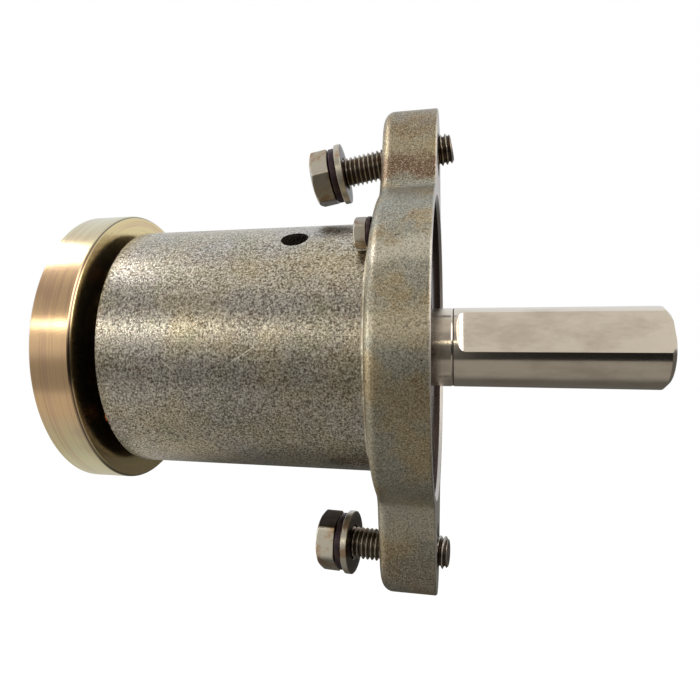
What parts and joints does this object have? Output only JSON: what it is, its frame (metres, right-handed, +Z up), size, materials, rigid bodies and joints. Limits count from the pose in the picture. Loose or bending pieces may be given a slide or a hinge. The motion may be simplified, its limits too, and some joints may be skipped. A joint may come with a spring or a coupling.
{
  "type": "pump pedestal",
  "caption": "Flanged bearing pedestal for a pump, with a flatted drive shaft running through a tube and a round drive disc on the shaft's other end.",
  "frame": {"origin": "on the shaft's axis, in the plane of the flange's mounting face, at the foot of the spigot", "axes": "+X along the shaft towards its free end, +Z up along the line of the two flange ears, -Y towards the camera"},
  "size_m": [0.1939, 0.102, 0.155],
  "materials": {
    "plate_steel": "zinc-plated steel plate, dull olive-grey with fine pits",
    "tube_steel": "dull zinc-plated tube, fine blasted grain with scratches",
    "weld_metal": "uneven weld metal under the plating",
    "ground_steel": "ground bar, smooth and bright",
    "yellow_zinc": "turned steel with yellow passivated zinc",
    "bearing_steel": "polished bearing steel",
    "cage_nylon": "moulded polyamide",
    "black_rubber": "black nitrile rubber",
    "spring_steel": "dark phosphated spring steel",
    "bright_steel": "nickel-bright steel fasteners with brown tarnish",
    "plain_steel": "plain turned steel"
  },
  "bodies": {
    "housing": {"flange_plate": "plate_steel", "bearing_tube": "tube_steel", "weld_bead": "weld_metal", "front_bearing_outer_ring": "bearing_steel", "rear_bearing_outer_ring": "bearing_steel", "front_bearing_seal_left": "black_rubber", "front_bearing_seal_right": "black_rubber", "rear_bearing_seal_left": "black_rubber", "rear_bearing_seal_right": "black_rubber", "bore_circlip": "spring_steel", "front_shaft_seal": "black_rubber", "seal_garter_spring": "spring_steel", "small_screw": "bright_steel", "small_spring_washer": "spring_steel", "top_bolt": "bright_steel", "bottom_bolt": "bright_steel", "top_spring_washer": "spring_steel", "bottom_spring_washer": "spring_steel", "top_flat_washer": "bright_steel", "bottom_flat_washer": "bright_steel"},
    "rotor": {"shaft": "ground_steel", "drive_disc": "yellow_zinc", "disc_key": "plain_steel", "spacer_sleeve": "plain_steel", "disc_spacer": "plain_steel", "shaft_circlip": "spring_steel", "front_bearing_inner_ring": "bearing_steel", "rear_bearing_inner_ring": "bearing_steel", "end_washer": "bright_steel", "end_spring_washer": "spring_steel", "end_bolt": "bright_steel"},
    "front_ball_set": {"front_bearing_cage": "cage_nylon", "front_bearing_ball_1": "bearing_steel", "front_bearing_ball_2": "bearing_steel", "front_bearing_ball_3": "bearing_steel", "front_bearing_ball_4": "bearing_steel", "front_bearing_ball_5": "bearing_steel", "front_bearing_ball_6": "bearing_steel", "front_bearing_ball_7": "bearing_steel"},
    "rear_ball_set": {"rear_bearing_cage": "cage_nylon", "rear_bearing_ball_1": "bearing_steel", "rear_bearing_ball_2": "bearing_steel", "rear_bearing_ball_3": "bearing_steel", "rear_bearing_ball_4": "bearing_steel", "rear_bearing_ball_5": "bearing_steel", "rear_bearing_ball_6": "bearing_steel", "rear_bearing_ball_7": "bearing_steel"}
  },
  "joints": [
    {"name": "shaft_spin", "type": "hinge", "parent": "housing", "child": "rotor", "pos_m": [0, 0, 0], "axis": [1, 0, 0], "continuous": true},
    {"name": "front_balls_spin", "type": "hinge", "parent": "housing", "child": "front_ball_set", "pos_m": [-0.0205, 0, 0], "axis": [1, 0, 0], "continuous": true},
    {"name": "rear_balls_spin", "type": "hinge", "parent": "housing", "child": "rear_ball_set", "pos_m": [-0.0805, 0, 0], "axis": [1, 0, 0], "continuous": true}
  ],
  "couplings": [
    {"joint": "front_balls_spin", "follows": "shaft_spin", "ratio": 0.3736},
    {"joint": "rear_balls_spin", "follows": "shaft_spin", "ratio": 0.3736}
  ]
}
